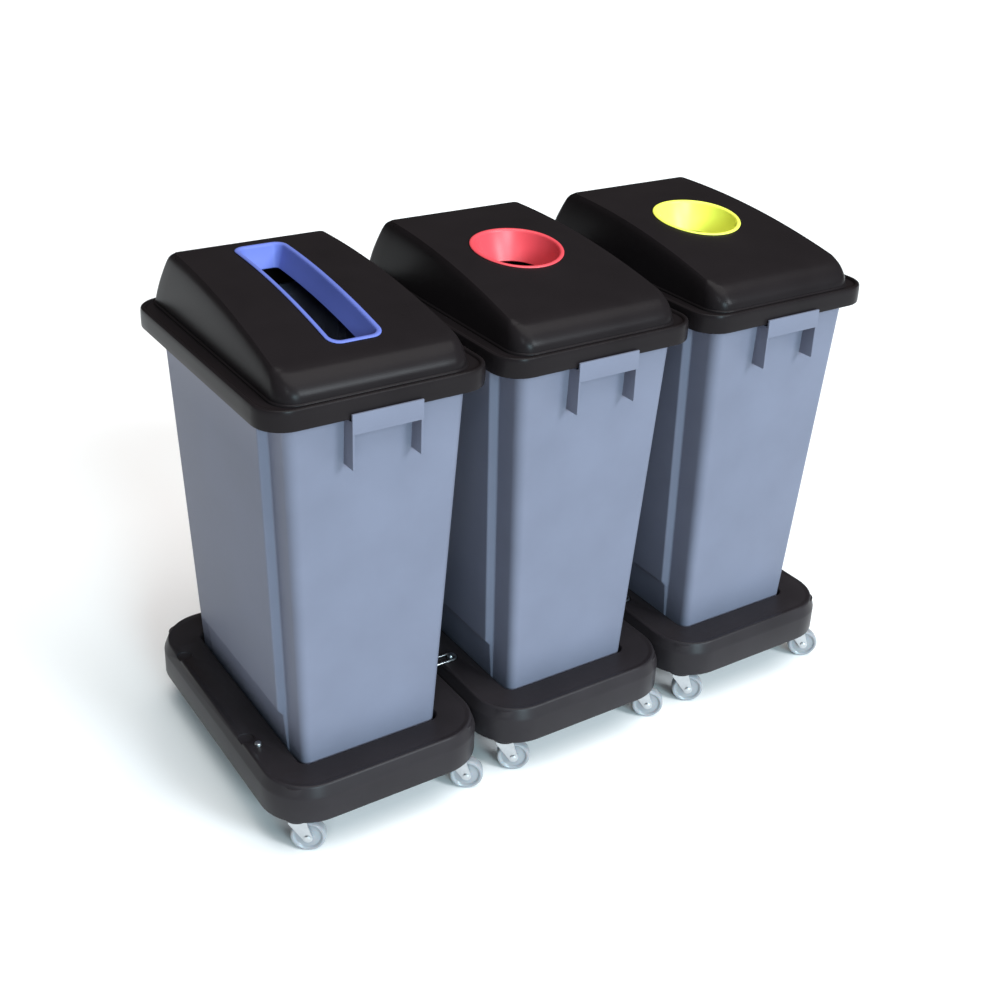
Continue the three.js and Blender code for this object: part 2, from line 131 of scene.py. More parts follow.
DOLLY = (165, 241.5, 72)
POCKET = (108, 183, 14)
DOLLY_BOTTOM = 61
DOLLY_BEVEL_Z = 101
DOLLY_RIM_Z = 117
DECK_Z = 115.5
POCKET_FLOOR_Z = 92
DECK_THICK = 4
DOLLY_SEGMENTS = 12
CASTER_X = 127
CASTER_Y = 205
BOSS_R = 20
BOSS_BOTTOM = 56.3
PITCH = 336
LINK_X = 137
LINK_YS = (-66, 136)
SPARE_RECESSES = ((150, -92), (150, 136))
SPARE_PIN = (141, -113)
RECESS_R = 12
RECESS_FLOOR_Z = 112.8
POST_R = 5
POST_TOP = 120
LINK_BEND_R = 8.5
LINK_WIRE_R = 2.0
LINK_ARC_STEPS = 16
WIRE_STEPS = 12

CASTER_TRAIL = 14
FORK_TOP = 56
STEM_R = 5.4
STEM_LENGTH = 34
EYE_R = 6.8
LEG_HALF = 12
LEG_THICK = 2
WHEEL_R = 24.37
WHEEL_WIDTH = 17

# ---- studio: name, direction towards the light, strength, apparent size in degrees, colour --------
LIGHTS = (
    ("key", (-0.10, -0.94, 0.28), 2.6, 20, (0.64, 0.90, 1.0)),
    ("top", (0.16, -0.20, 1.0), 2.9, 60, (1.0, 0.98, 0.96)),
    ("dome edge", (0.36, -0.80, 0.44), 2.4, 18, (0.85, 0.94, 1.0)),
    ("dome corner", (-0.50, -0.62, 0.57), 0.35, 9, (0.85, 0.94, 1.0)),
)
WORLD_COLOUR = (1.0, 0.92, 0.9, 1)
WORLD_STRENGTH = 0.06
FLOOR_COLOUR = (0.93, 0.93, 0.93, 1)
FLOOR_HALF = 30000
FLOOR_THICK = 20


# ---- outlines ------------------------------------------------------------------------------------
def fillet_outline(corners, segments=8, side_cuts=0):
    """Closed outline through corners (x, y, radius), each rounded by an arc of the same point count."""
    outline = []
    count = len(corners)
    for i in range(count):
        here = Vector(corners[i][:2])
        radius = corners[i][2]
        before = (Vector(corners[i - 1][:2]) - here).normalized()
        after = (Vector(corners[(i + 1) % count][:2]) - here).normalized()
        half_angle = before.angle(after, math.pi) / 2
        reach = radius / math.tan(half_angle) if half_angle < math.pi / 2 - 1e-4 else 0.0
        start, end = here + before * reach, here + after * reach
        for k in range(segments + 1):
            t = k / segments
            point = start.lerp(end, t)
            if reach:
                centre = here + (before + after).normalized() * (radius / math.sin(half_angle))
                sweep = (start - centre).slerp(end - centre, t) if 0 < t < 1 else point - centre
                point = centre + sweep.normalized() * radius
            outline.append((point.x, point.y))
    if side_cuts:
        outline = cut_sides(outline, segments, side_cuts)
    return outline


def cut_sides(outline, segments, side_cuts):
    """Adds points along the straight runs between the corner arcs."""
    cut = []
    for i, point in enumerate(outline):
        cut.append(point)
        if i % (segments + 1) == segments:
            follow = outline[(i + 1) % len(outline)]
            for k in range(1, side_cuts + 1):
                t = k / (side_cuts + 1)
                cut.append(tuple(a + (b - a) * t for a, b in zip(point, follow)))
    return cut


def rectangle(half_x, back, front, radius, segments=8, side_cuts=0):
    corners = [(-half_x, back), (-half_x, -front), (half_x, -front), (half_x, back)]
    return fillet_outline([(x, y, radius) for x, y in corners], segments, side_cuts)


def mirrored_rectangle(size, shrink, segments=8, side_cuts=0):
    """Rectangle (half x, half y, corner radius), moved inwards by shrink."""
    half_x, half_y = size[0] - shrink, size[1] - shrink
    radius = max(size[2] - shrink, 1)
    return rectangle(half_x, half_y, half_y, radius, segments, side_cuts)


def bin_outline(plan, shrink=0.0):
    """Bin plan: end columns, and side panels that stand out between them."""
    column, panel = plan["column"] - shrink, plan["panel"] - shrink
    depth, step, radius = plan["depth"] - shrink, plan["step"] - shrink, plan["radius"] - shrink
    right = [
        (column, -depth, radius),
        (column, -step - STEP_SLANT, STEP_FILLET),
        (panel, -step + STEP_SLANT, STEP_FILLET),
        (panel, step - STEP_SLANT, STEP_FILLET),
        (column, step + STEP_SLANT, STEP_FILLET),
        (column, depth, radius),
    ]
    left = [(-x, y, r) for x, y, r in reversed(right)]
    return fillet_outline(left + right)


def lift(outline, height):
    """Outline points in metres, at a height or at a height that depends on y."""
    z = height if callable(height) else (lambda y: height)
    return [(x * MM, y * MM, z(y) * MM) for x, y in outline]


# ---- meshes --------------------------------------------------------------------------------------
def skin(name, rings, looped=False):
    """A surface through rings of equal point count, closed by end faces or by joining last to first."""
    mesh = bmesh.new()
    loops = [[mesh.verts.new(p) for p in points] for points in rings]
    pairs = list(zip(loops, loops[1:])) + ([(loops[-1], loops[0])] if looped else [])
    count = len(rings[0])
    for low, high in pairs:
        for i in range(count):
            j = (i + 1) % count
            mesh.faces.new((low[i], low[j], high[j], high[i]))
    if not looped:
        mesh.faces.new(list(reversed(loops[0])))
        mesh.faces.new(loops[-1])
    bmesh.ops.remove_doubles(mesh, verts=mesh.verts, dist=1e-6)
    bmesh.ops.recalc_face_normals(mesh, faces=mesh.faces)
    return finish_mesh(name, mesh)


def finish_mesh(name, mesh, angle=32):
    data = bpy.data.meshes.new(name)
    mesh.to_mesh(data)
    mesh.free()
    data.shade_smooth()
    data.set_sharp_from_angle(angle=math.radians(angle))
    thing = bpy.data.objects.new(name, data)
    bpy.context.scene.collection.objects.link(thing)
    return thing


def lathe(name, profile, segments=48, axis="Z"):
    """Turns a closed (radius, height) profile, in millimetres, round an axis."""
    turned = []
    for i in range(segments):
        angle = math.tau * i / segments
        turned.append([(r * MM * math.cos(angle), r * MM * math.sin(angle), h * MM) for r, h in profile])
    thing = skin(name, turned, looped=True)
    if axis == "X":
        thing.data.transform(Matrix.Rotation(math.pi / 2, 4, "Y"))
    return thing


def apply_modifiers(thing, angle=32):
    graph = bpy.context.evaluated_depsgraph_get()
    baked = bpy.data.meshes.new_from_object(thing.evaluated_get(graph))
    thing.modifiers.clear()
    thing.data = baked
    baked.shade_smooth()
    baked.set_sharp_from_angle(angle=math.radians(angle))


def cut(thing, cutters, operation="DIFFERENCE"):
    for cutter in cutters:
        boolean = thing.modifiers.new("cut", "BOOLEAN")
        boolean.operation = operation
        boolean.solver = "EXACT"
        boolean.object = cutter
    apply_modifiers(thing)
    for cutter in cutters:
        bpy.data.objects.remove(cutter)


def bevel(thing, width, segments=3):
    modifier = thing.modifiers.new("bevel", "BEVEL")
    modifier.width = width * MM
    modifier.segments = segments
    modifier.limit_method = "ANGLE"
    modifier.angle_limit = math.radians(35)
    apply_modifiers(thing)


def prism(name, outline, z0, z1):
    return skin(name, [lift(outline, z0), lift(outline, z1)])


def slab(name, x0, x1, y0, y1, z0, z1):
    return prism(name, [(x0, y1), (x0, y0), (x1, y0), (x1, y1)], z0, z1)


def plate_across(name, side, x0, x1):
    """A flat plate with a (y, z) outline, from x0 to x1."""
    return skin(name, [[(x * MM, y * MM, z * MM) for y, z in side] for x in (x0, x1)])


def circle(radius, segments=48, x=0.0, y=0.0):
    angles = [math.tau * i / segments for i in range(segments)]
    return [(x + radius * math.cos(a), y + radius * math.sin(a)) for a in angles]


def copy_to(thing, name, place):
    twin = bpy.data.objects.new(name, thing.data)
    twin.matrix_world = place
    bpy.context.scene.collection.objects.link(twin)
    return twin


# ---- materials -----------------------------------------------------------------------------------
def new_material(name):
    """An empty material, its shader, and a node that gives the object's own coordinates."""
    material = bpy.data.materials.new(name)
    material.use_nodes = True
    nodes = material.node_tree.nodes
    return material, nodes["Principled BSDF"], nodes.new("ShaderNodeTexCoord")


def add_noise(material, where, scale, detail):
    noise = material.node_tree.nodes.new("ShaderNodeTexNoise")
    noise.inputs["Scale"].default_value = scale
    noise.inputs["Detail"].default_value = detail
    material.node_tree.links.new(where.outputs["Object"], noise.inputs["Vector"])
    return noise.outputs["Fac"]


def add_colour(material, shader, value, dark, light, span=(0.0, 1.0)):
    """Base colour that runs from dark to light as the value crosses the span."""
    ramp = material.node_tree.nodes.new("ShaderNodeValToRGB")
    for element, place, colour in zip(ramp.color_ramp.elements, span, (dark, light)):
        element.position = place
        element.color = (*colour, 1)
    material.node_tree.links.new(value, ramp.inputs["Fac"])
    material.node_tree.links.new(ramp.outputs["Color"], shader.inputs["Base Color"])


def add_gloss(material, shader, value, low, high):
    """Roughness that runs from low to high with the value."""
    gloss = material.node_tree.nodes.new("ShaderNodeMapRange")
    gloss.inputs["To Min"].default_value = low
    gloss.inputs["To Max"].default_value = high
    material.node_tree.links.new(value, gloss.inputs["Value"])
    material.node_tree.links.new(gloss.outputs["Result"], shader.inputs["Roughness"])


def add_bump(material, shader, value, strength, distance):
    bump = material.node_tree.nodes.new("ShaderNodeBump")
    bump.inputs["Strength"].default_value = strength
    bump.inputs["Distance"].default_value = distance
    material.node_tree.links.new(value, bump.inputs["Height"])
    material.node_tree.links.new(bump.outputs["Normal"], shader.inputs["Normal"])


def plastic(name, colour, roughness, ior=1.2, specular=0.5, grain=0.12, grain_scale=900, mottle=0.06,
            coat=0.0, subsurface=0.0):
    """Moulded plastic: soft unevenness in colour and gloss, fine grain in the bump."""
    material, shader, where = new_material(name)
    mottling = add_noise(material, where, 9, 5)
    dark = [c * (1 - mottle) for c in colour]
    light = [min(c * (1 + mottle), 1) for c in colour]
    add_colour(material, shader, mottling, dark, light, (0.3, 0.7))
    add_gloss(material, shader, mottling, roughness - 0.05, roughness + 0.07)
    add_bump(material, shader, add_noise(material, where, grain_scale, 3), grain, 0.0004)
    shader.inputs["IOR"].default_value = ior
    shader.inputs["Specular IOR Level"].default_value = specular
    shader.inputs["Coat Weight"].default_value = coat
    shader.inputs["Subsurface Weight"].default_value = subsurface
    shader.inputs["Subsurface Scale"].default_value = 0.004
    return material


def zinc_plate(name):
    """Zinc-plated steel, cloudy in colour, gloss and bump."""
    material, shader, where = new_material(name)
    shader.inputs["Metallic"].default_value = 1.0
    cloud = add_noise(material, where, 120, 4)
    add_colour(material, shader, cloud, (0.40, 0.42, 0.45), (0.60, 0.62, 0.63))
    add_gloss(material, shader, cloud, 0.22, 0.42)
    add_bump(material, shader, cloud, 0.08, 0.0002)
    return material


GREY = plastic("bin_grey", (0.141, 0.150, 0.200), 0.42, grain=0.10)
LID = plastic("lid_black", (0.0115, 0.0092, 0.0099), 0.28, ior=1.16, grain=0.05, grain_scale=700,
              mottle=0.12)
BASE = plastic("dolly_black", (0.0200, 0.0170, 0.0190), 0.34, ior=1.22, grain=0.09, grain_scale=600,
               mottle=0.15)
BLUE = plastic("insert_blue", (0.120, 0.155, 0.460), 0.36, ior=1.3, specular=0.25, grain=0.06)
RED = plastic("insert_red", (0.690, 0.066, 0.084), 0.36, ior=1.45, specular=0.4, grain=0.06)
YELLOW = plastic("insert_yellow", (0.900, 0.930, 0.120), 0.36, ior=1.45, specular=0.4, grain=0.06)
ZINC = zinc_plate("zinc")
NYLON = plastic("nylon", (0.25, 0.26, 0.28), 0.28, ior=1.5, specular=0.4, grain=0.04, mottle=0.05,
                coat=0.2, subsurface=0.2)


def dress(thing, material, slot, body, *nodes):
    """Gives a piece its material, the body it rides on and the CAD nodes it replaces; the slot argument is
    not used.
    """
    thing.data.materials.clear()
    thing.data.materials.append(material)
    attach(thing, body)
    if nodes:
        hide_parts(*nodes)
    return thing


# ---- bin body ------------------------------------------------------------------------------------
def mix_plan(t):
    """Plan of the tapered wall at a share of its height."""
    return {key: BODY_LOW[key] + (BODY_HIGH[key] - BODY_LOW[key]) * t for key in BODY_LOW}


def wall_plan(bottom, neck):
    """A function for the plan at a height, with the side panels pulled in towards the columns."""
    def plan(z, pull=0.0):
        mixed = mix_plan((z - bottom) / (neck - bottom))
        mixed["panel"] -= pull
        return mixed
    return plan


def bin_outside(plan, bottom, foot, neck):
    """Rings up the outside: plan, how far inside it, height. At the very bottom no panel stands out."""
    rings = [
        (plan(bottom, 12), 4.0, bottom),
        (plan(bottom, 11.8), 1.6, bottom + 0.7),
        (plan(bottom, 11.5), 0.4, bottom + 2.4),
        (plan(bottom + 5, 11.2), 0.0, bottom + 5),
        (plan(foot - 12, 7.2), 0.0, foot - 12),
        (plan(foot - 9.5, 6.7), 0.0, foot - 9.5),
        (plan(foot - 2.5, 0.8), 0.0, foot - 2.5),
        (plan(foot, 0.1), 0.0, foot),
        (plan(foot + 2, 0), 0.0, foot + 2),
    ]
    return rings + [(plan(z), 0.0, z) for z in (foot + (neck - foot) * k / 6 for k in range(1, 6))]


def bin_rim(neck, top):
    """Rings out to the rim, over its top and down its inner face."""
    return [
        (BODY_HIGH, 0.0, neck - 1),
        (BODY_HIGH, -0.6, neck),
        (RIM, 1.0, neck + 2.4),
        (RIM, 0.2, neck + 3.4),
        (RIM, 0.0, neck + 5),
        (RIM, 0.0, top - 2),
        (RIM, 0.6, top - 0.6),
        (RIM, 2.0, top),
        (RIM, 3.4, top),
        (RIM, 4.6, top - 0.8),
        (RIM, 5.0, top - 3),
        (RIM, 5.0, neck + 8),
    ]


def bin_inside(plan, bottom, foot, neck):
    """Rings down the inside to the floor of the bin."""
    return [
        (BODY_HIGH, WALL, neck + 3),
        (plan(foot + 1), WALL, foot + 1),
        (plan(foot - 10, 7), WALL, foot - 10),
        (plan(bottom + 8, 11), WALL + 0.5, bottom + 8),
        (plan(bottom + WALL, 12), WALL + 4, bottom + WALL),
    ]


def bin_mesh(bottom, top):
    neck = top - NECK_BELOW_TOP
    foot = bottom + FOOT_HEIGHT
    plan = wall_plan(bottom, neck)
    rings = bin_outside(plan, bottom, foot, neck) + bin_rim(neck, top) + bin_inside(plan, bottom, foot, neck)
    return skin("bin_shell", [lift(bin_outline(p, shrink), z) for p, shrink, z in rings])


def gusset(name, x0, x1, wall_y):
    """One side web of the grip, from behind the plate's face into the wall, with a level lower end."""
    inside, face = wall_y + GUSSET_SINK, -HANDLE_OUT + GUSSET_INSET
    side = [
        (inside, GUSSET_LOW), (-HANDLE_OUT + 2, GUSSET_LOW), (face, GUSSET_LOW + 1.5), (face, GUSSET_TOP),
        (inside, GUSSET_TOP),
    ]
    return plate_across(name, side, x0, x1)


def handle_mesh():
    """Front grip: plate standing off the face, top web and two gussets."""
    wall_y = GRIP_SINK - mix_plan(GRIP_SHARE)["depth"]
    front, back = -HANDLE_OUT, -HANDLE_OUT + HANDLE_THICK
    plate = slab("grip", -HANDLE_HALF, HANDLE_HALF, front, back, HANDLE_LOW, HANDLE_TOP)
    web_half = HANDLE_HALF - 1
    web = slab("web", -web_half, web_half, front + 1, wall_y, GUSSET_TOP - HANDLE_THICK, GUSSET_TOP)
    cheeks = []
    for sign in (-1, 1):
        outer = sign * (HANDLE_HALF - 0.4)
        inner = sign * (HANDLE_HALF - HANDLE_THICK)
        cheeks.append(gusset("cheek", min(outer, inner), max(outer, inner), wall_y))
    cut(plate, [web, *cheeks], "UNION")
    bevel(plate, 0.7)
    return plate


# ---- lid -----------------------------------------------------------------------------------------
def roof_z(y):
    """Height of the arched, sloping roof at a distance from front to back."""
    return ROOF_Z + ROOF_SLOPE * y - ROOF_ARCH * y ** 2


def dome_outline(plan, shrink=0.0):
    """Dome plan, with tighter corners at the back than at the front."""
    half, back, front = (plan[key] - shrink for key in ("half", "back", "front"))
    wide = half + plan["flare"]
    radius = max(plan["radius"] - shrink, 3)
    corners = [
        (-half, back, radius / 2), (-wide, -front, radius), (wide, -front, radius), (half, back, radius / 2),
    ]
    return fillet_outline(corners, side_cuts=SIDE_CUTS)


def dome_height(share, drop=0.0):
    """Height function at a share of the way from the ledge to the roof, level in front of the roof."""
    front = -DOME[-1][1]["front"]
    return lambda y: LEDGE_Z + (roof_z(max(y, front)) - LEDGE_Z) * share - drop


def smooth_between(before, a, b, after, t):
    """Catmull-Rom blend from a to b."""
    return 0.5 * (2 * a + (b - before) * t + (2 * before - 5 * a + 4 * b - after) * t ** 2
                  + (3 * a - before - 3 * b + after) * t ** 3)


def dome_stations(cuts=4):
    """The dome's levels with smooth levels in between."""
    levels = [{"share": share, **plan} for share, plan in DOME]
    padded = [levels[0], *levels, {**levels[-1], "share": levels[-1]["share"] + 0.01}]
    stations = []
    for before, a, b, after in zip(padded, padded[1:], padded[2:], padded[3:]):
        for k in range(cuts):
            t = k / cuts
            stations.append({key: smooth_between(before[key], a[key], b[key], after[key], t) for key in a})
    return stations + [levels[-1]]


def lid_inside():
    """Rings from under the middle of the roof to the ledge, inside the dome."""
    rings = [lift(dome_outline(ROOF_MIDDLE), dome_height(1, LID_WALL))]
    for share, plan in reversed(DOME[1:]):
        drop = LID_WALL / (2 - share ** 8)      # half a wall low on the sides, a whole one at the roof
        rings.append(lift(dome_outline(plan, LID_WALL), dome_height(share, drop)))
    rings.append(lift(dome_outline(DOME[0][1], LID_WALL), LEDGE_Z - LID_WALL))
    return rings


def lid_skirt():
    """Rings down inside the skirt, round its lower edge and up its outside to the ledge."""
    section = [
        (LID_WALL + 1, LEDGE_Z - LID_WALL),
        (LID_WALL, LEDGE_Z - LID_WALL - 3),
        (LID_WALL, SKIRT_BOTTOM + 0.6),
        (LID_WALL - 0.6, SKIRT_BOTTOM),
        (1.2, SKIRT_BOTTOM),
        (0.3, SKIRT_BOTTOM + 0.8),
        (0.0, SKIRT_BOTTOM + 2.4),
        (-0.1, SKIRT_BOTTOM + 10),
        (0.1, SKIRT_TOP - 8),
        (0.5, SKIRT_TOP - 3),
        (1.3, SKIRT_TOP - 1.1),
        (2.6, SKIRT_TOP - 0.2),
        (4.2, SKIRT_TOP),
        (5.6, SKIRT_TOP - 0.3),
        (6.8, SKIRT_TOP - 1.4),
        (8.0, LEDGE_Z),
    ]
    return [lift(mirrored_rectangle(SKIRT, shrink, side_cuts=SIDE_CUTS), z) for shrink, z in section]


def lid_dome():
    """Rings up the outside of the dome, then in over the roof to its middle."""
    rings = [lift(dome_outline(DOME[0][1], inset), LEDGE_Z + above) for inset, above in DOME_FOOT]
    rings += [lift(dome_outline(station), dome_height(station["share"])) for station in dome_stations()[1:]]
    top = DOME[-1][1]
    for t in ROOF_SHARES:
        inner = {key: top[key] + (ROOF_MIDDLE[key] - top[key]) * t for key in top}
        rings.append(lift(dome_outline(inner), dome_height(1)))
    return rings


def lid_mesh(kind):
    lid = skin("lid_shell", lid_inside() + lid_skirt() + lid_dome())
    cut(lid, [insert_plug(kind)])
    return lid


# ---- inserts -------------------------------------------------------------------------------------
def insert_outline(kind, shrink):
    if kind == "slot":
        half_x, half_y, radius = SLOT_HALF
        corner = max(radius - shrink * 0.7, 6)
        return rectangle(half_x - shrink, half_y - shrink, half_y - shrink, corner, 12, SIDE_CUTS)
    return circle(RING_R - shrink, 96, 0, RING_Y)


def roof_ring(kind, shrink, above):
    """Insert outline that follows the curve of the roof, so much above it."""
    return lift(insert_outline(kind, shrink), lambda y: roof_z(y) + above)


def insert_plug(kind):
    """Cutter for the hole in the lid, inside the insert's rim."""
    return skin("plug", [roof_ring(kind, PLUG_INSET, above) for above in PLUG_SPAN])


def insert_mesh(kind):
    """Funnel with a rolled rim, from its lower edge up the outside, over the rim and down the inside."""
    depth = SLOT_DEPTH if kind == "slot" else RING_DEPTH
    taper = SLOT_TAPER if kind == "slot" else RING_R - FUNNEL_LIP - RING_HOLE_R
    section = [
        (5 + taper, -depth), (5, -3.8), (5, 0.3), (0.3, 0.3), (0, 0.8), (0.25, 1.5), (1.0, 2.05), (2.2, 2.2),
        (4.0, 2.1), (5.4, 1.5), (6.3, 0.4), (6.9, -1.2), (7.3, -3.2), (7.3 + taper * 0.5, -depth * 0.55),
        (FUNNEL_LIP + taper, -depth + 1), (6.6 + taper, -depth),
    ]
    return skin("funnel", [roof_ring(kind, shrink, above) for shrink, above in section], looped=True)


# ---- dolly ---------------------------------------------------------------------------------------
def dolly_rings():
    """Rings from under the pocket, round the outer wall, over the rim and deck, and down into the pocket."""
    under = DECK_Z - DECK_THICK
    below_pocket = [(0, POCKET_FLOOR_Z - 4), (-3, POCKET_FLOOR_Z - 1), (-4, under)]
    outer_wall = [
        (15, under),
        (4, DOLLY_BEVEL_Z - 4),
        (4, DOLLY_BOTTOM + 0.5),
        (3.5, DOLLY_BOTTOM),
        (1.2, DOLLY_BOTTOM),
        (0.3, DOLLY_BOTTOM + 0.8),
        (0, DOLLY_BOTTOM + 2.2),
        (0, DOLLY_BEVEL_Z - 3),
        (0.3, DOLLY_BEVEL_Z - 1),
        (1.1, DOLLY_BEVEL_Z + 1.2),
        (5.6, DOLLY_RIM_Z - 3.2),
        (6.4, DOLLY_RIM_Z - 1.4),
        (7.4, DOLLY_RIM_Z - 0.3),
        (8.4, DOLLY_RIM_Z),
        (9.6, DOLLY_RIM_Z - 0.1),
        (11.0, DOLLY_RIM_Z - 0.5),
        (14.0, DECK_Z),
        (16.0, DECK_Z),
    ]
    into_pocket = [
        (-3.5, DECK_Z),
        (-2.2, DECK_Z - 0.4),
        (-1.2, DECK_Z - 1.6),
        (-0.6, DECK_Z - 4),
        (1.4, POCKET_FLOOR_Z + 1),
        (2.4, POCKET_FLOOR_Z),
    ]
    stretches = ((POCKET, below_pocket), (DOLLY, outer_wall), (POCKET, into_pocket))
    return [lift(mirrored_rectangle(size, shrink, DOLLY_SEGMENTS), z)
            for size, section in stretches for shrink, z in section]


def dolly_pits(linked):
    """Cutters for the post recesses, open to the outside on a side that has a neighbour."""
    pits = []
    for sx in (-1, 1):
        spots = [(LINK_X, y) for y in LINK_YS] if sx in linked else SPARE_RECESSES
        for x, y in spots:
            pits.append(prism("pit", circle(RECESS_R, 40, sx * x, y), RECESS_FLOOR_Z, DECK_Z + 20))
            if sx in linked:
                x0, x1 = sorted((sx * x, sx * 200))
                pits.append(slab("notch", x0, x1, y - RECESS_R, y + RECESS_R, RECESS_FLOOR_Z, DECK_Z + 20))
    return pits


def dolly_mesh(linked):
    """Tray with its caster bosses; linked holds the sides (-1 left, 1 right) that have a neighbour."""
    dolly = skin("dolly_shell", dolly_rings())
    corners = [(sx * CASTER_X, sy * CASTER_Y) for sx in (-1, 1) for sy in (-1, 1)]
    bosses = [prism("boss", circle(BOSS_R, 40, x, y), BOSS_BOTTOM, DECK_Z - 2) for x, y in corners]
    cut(dolly, bosses, "UNION")
    cut(dolly, dolly_pits(linked))
    bevel(dolly, 0.5, 2)
    return dolly


def post_mesh():
    """Link post with a domed pin head."""
    profile = [(0, RECESS_FLOOR_Z - 0.5), (POST_R, RECESS_FLOOR_Z - 0.5), (POST_R, POST_TOP - 1.4),
               (POST_R - 0.5, POST_TOP - 0.6), (POST_R - 1.6, POST_TOP - 0.1), (0, POST_TOP)]
    return lathe("post", profile, 32)


def link_mesh():
    """Closed wire loop that goes round two posts."""
    reach = PITCH / 2 - LINK_X
    rings = []
    for side in (1, -1):
        for i in range(LINK_ARC_STEPS + 1):
            angle = math.radians(-90 + 180 * i / LINK_ARC_STEPS) + (math.pi if side < 0 else 0)
            section = []
            for k in range(WIRE_STEPS):
                turn = math.tau * k / WIRE_STEPS
                radius = LINK_BEND_R + LINK_WIRE_R * math.cos(turn)
                x = side * reach + radius * math.cos(angle)
                section.append((x * MM, radius * math.sin(angle) * MM, -LINK_WIRE_R * math.sin(turn) * MM))
            rings.append(section)
    return skin("link_loop", rings, looped=True)


# ---- casters -------------------------------------------------------------------------------------
def wheel_mesh():
    """Nylon wheel: crowned tread, dished web, raised hub."""
    half = WHEEL_WIDTH / 2
    side = [
        (3.3, half), (6.5, half), (7.6, half - 0.5), (8.2, half - 2.2), (12, half - 3.0), (17.6, half - 2.6),
        (19.0, half - 0.9), (20.6, half - 0.2), (22.6, half - 0.7), (23.9, half - 2.2),
        (WHEEL_R, half - 4.6),
    ]
    profile = [(r, -z) for r, z in side] + [(r, z) for r, z in reversed(side)]
    return lathe("wheel", profile, 72, "X")


def axle_mesh():
    """Riveted axle with a head at each end."""
    out = WHEEL_WIDTH / 2 + 3
    half = [
        (2.6, 0), (2.6, out + 0.3), (4.6, out + 0.3), (4.9, out + 1.0), (3.4, out + 1.7), (1.6, out + 2.0),
    ]
    profile = [(0, -out - 2.0)] + [(r, -z) for r, z in reversed(half)][:-1] + half + [(0, out + 2.0)]
    return lathe("axle", profile, 24, "X")


def fork_legs(axle_z):
    """Two side plates that narrow from the head to an eye round the axle."""
    eye = []
    for i in range(12):
        angle = math.radians(200 + 16 * i)
        eye.append((CASTER_TRAIL + EYE_R * math.cos(angle), axle_z + EYE_R * math.sin(angle)))
    side = [(-LEG_HALF, FORK_TOP - 1), (-LEG_HALF, FORK_TOP - 7), *eye, (LEG_HALF, FORK_TOP - 1)]
    inner = WHEEL_WIDTH / 2 + 1
    spans = ((-inner - LEG_THICK, -inner), (inner, inner + LEG_THICK))
    return [plate_across("leg", side, x0, x1) for x0, x1 in spans]


def fork_mesh(axle_z):
    """Pressed steel fork: round head, two legs, and a stem into the dolly."""
    head = [
        (0, FORK_TOP - 3), (16.2, FORK_TOP - 3), (16.9, FORK_TOP - 2.2), (16.9, FORK_TOP - 1.2),
        (15.8, FORK_TOP - 0.4), (7, FORK_TOP), (0, FORK_TOP),
    ]
    fork = lathe("fork", head, 48)
    stem = prism("stem", circle(STEM_R, 24), FORK_TOP - 1, FORK_TOP + STEM_LENGTH)
    cut(fork, [stem, *fork_legs(axle_z)], "UNION")
    bevel(fork, 0.35, 2)
    return fork


# ---- put the station together --------------------------------------------------------------------
BIN_KEYS = ("left", "middle", "right")
KINDS = {"left": "slot", "middle": "round", "right": "round"}
INSERT_LOOKS = {
    "left": (BLUE, "insert_blue"),
    "middle": (RED, "insert_red"),
    "right": (YELLOW, "insert_yellow"),
}
LINKED = {"left": (1,), "middle": (-1, 1), "right": (-1,)}


def node_centre(node):
    low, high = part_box(node)
    return (Vector(low) + Vector(high)) / 2


def place_bins():
    low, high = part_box("bin_middle_body")
    shell = bin_mesh(low[2] / MM, high[2] / MM)
    handle = handle_mesh()
    half_turn = Matrix.Rotation(math.pi, 4, "Z")
    lids = {kind: lid_mesh(kind) for kind in ("slot", "round")}
    funnels = {kind: insert_mesh(kind) for kind in ("slot", "round")}
    for key in BIN_KEYS:
        kind = KINDS[key]
        spot = Matrix.Translation((node_centre(f"dolly_{key}").x, 0, 0))
        dress(copy_to(shell, f"bin_{key}_shell", spot), GREY, "bin_grey", f"bin_{key}", f"bin_{key}_body")
        dress(copy_to(handle, f"bin_{key}_grip_front", spot), GREY, "bin_grey", f"bin_{key}")
        dress(copy_to(handle, f"bin_{key}_grip_back", spot @ half_turn), GREY, "bin_grey", f"bin_{key}")
        dress(copy_to(lids[kind], f"lid_{key}_hood", spot), LID, "lid_black", f"lid_{key}", f"bin_{key}_lid")
        material, slot = INSERT_LOOKS[key]
        funnel = copy_to(funnels[kind], f"lid_{key}_funnel", spot)
        funnel.data = funnel.data.copy()
        dress(funnel, material, slot, f"lid_{key}", f"bin_{key}_insert")
    for thing in (shell, handle, *lids.values(), *funnels.values()):
        bpy.data.objects.remove(thing)


def place_dollies():
    post = post_mesh()
    for key in BIN_KEYS:
        spot = Matrix.Translation((node_centre(f"dolly_{key}").x, 0, 0))
        dolly = dolly_mesh(LINKED[key])
        dolly.name = f"dolly_{key}_tray"
        dolly.data.transform(spot)
        dress(dolly, BASE, "dolly_black", "base", f"dolly_{key}")
        for sx in (-1, 1):
            side = "left" if sx < 0 else "right"
            for x, y in [(LINK_X, y) for y in LINK_YS] if sx in LINKED[key] else [SPARE_PIN]:
                name = f"dolly_{key}_post_{side}_{'front' if y < 0 else 'back'}"
                at = spot @ Matrix.Translation((sx * x * MM, y * MM, 0))
                dress(copy_to(post, name, at), ZINC, "zinc", "base")
    bpy.data.objects.remove(post)


def place_links():
    loop = link_mesh()
    for node in [n for n in frame["nodes"] if n.startswith("link_")]:
        at = Matrix.Translation(node_centre(node))
        dress(copy_to(loop, f"{node}_loop", at), ZINC, "zinc", f"{node}_body", node)
    bpy.data.objects.remove(loop)


